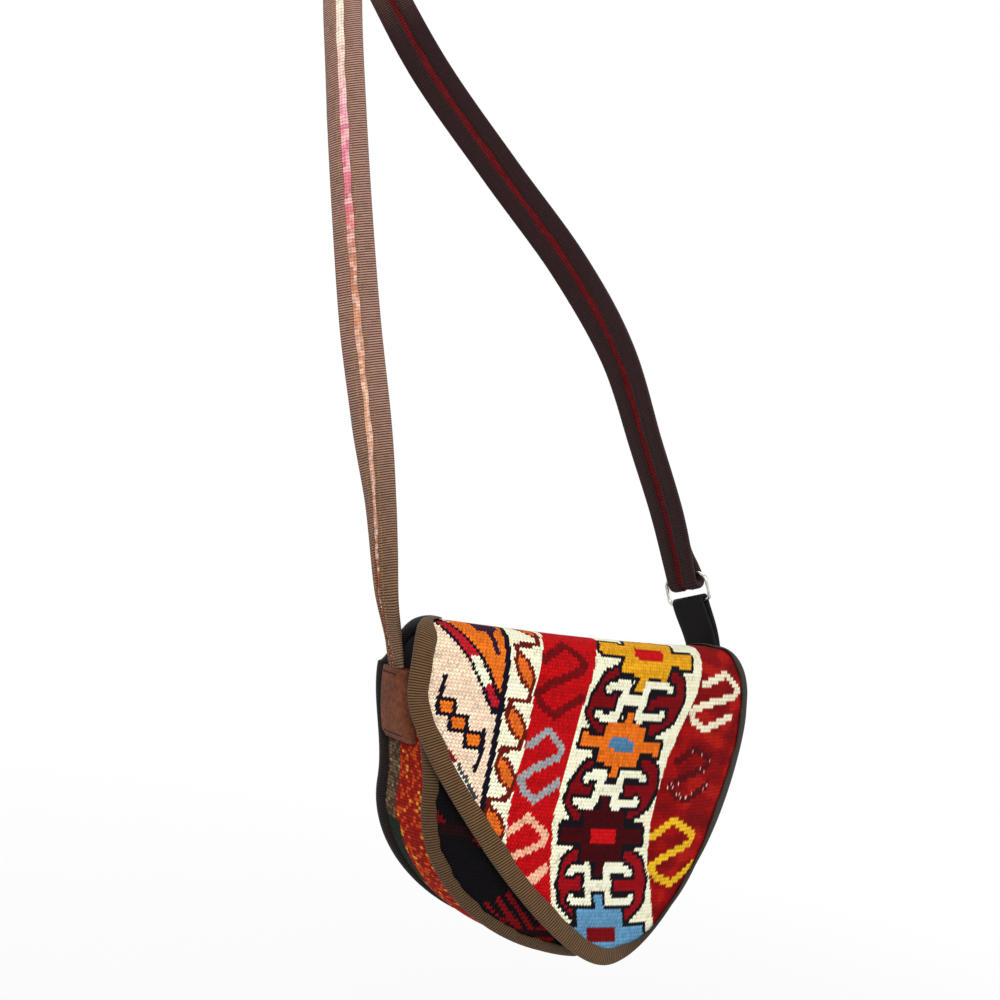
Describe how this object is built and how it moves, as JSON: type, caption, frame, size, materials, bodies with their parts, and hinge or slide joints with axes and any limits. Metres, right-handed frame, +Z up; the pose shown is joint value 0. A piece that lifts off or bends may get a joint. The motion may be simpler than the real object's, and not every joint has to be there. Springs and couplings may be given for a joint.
{
  "type": "kilim crossbody bag",
  "caption": "Small crossbody bag of flat-woven patterned wool with a rounded fold-over flap, tape-bound edges, leather tabs, a D-ring and a long tape-edged shoulder strap.",
  "frame": {"origin": "underside of the strap where it lies over the shoulder", "axes": "+Z up, +X to the right seen from the front, the flap faces -Y"},
  "size_m": [0.3279, 0.2937, 0.6383],
  "materials": {
    "patterned_wool": "coarse flat-woven wool in red, ivory, orange and blue",
    "dark_wool": "coarse flat-woven wool, near black with red motifs",
    "red_wool": "coarse flat-woven wool, red and grey stripes",
    "lining_cotton": "plain cotton",
    "brown_tape": "ribbed grosgrain tape",
    "strap_wool": "flat-woven wool in peach, pink and orange",
    "tan_leather": "suede",
    "dark_leather": "smooth, satin",
    "steel": "nickel-plated wire",
    "snap_brass": "satin"
  },
  "bodies": {
    "bag": {"back_and_flap_panel": "patterned_wool", "front_panel": "dark_wool", "gusset": "red_wool", "back_and_flap_lining": "lining_cotton", "front_lining": "lining_cotton", "gusset_lining": "lining_cotton", "edge_tape": "brown_tape", "front_seam_tape": "brown_tape", "mouth_tape": "brown_tape", "strap_core": "strap_wool", "strap_tape_front": "brown_tape", "strap_tape_rear": "brown_tape", "strap_tab": "tan_leather", "ring_tab": "dark_leather", "snap_socket": "snap_brass", "snap_stud": "snap_brass"},
    "ring": {"d_ring": "steel"}
  },
  "joints": [
    {"name": "ring_swing", "type": "hinge", "parent": "bag", "child": "ring", "pos_m": [0.25495, -0.16247, -0.40665], "axis": [-0.0567, 0.9546, -0.2924], "range_deg": [-40, 40], "deforming": ["strap_core", "strap_tape_front", "strap_tape_rear"]}
  ]
}
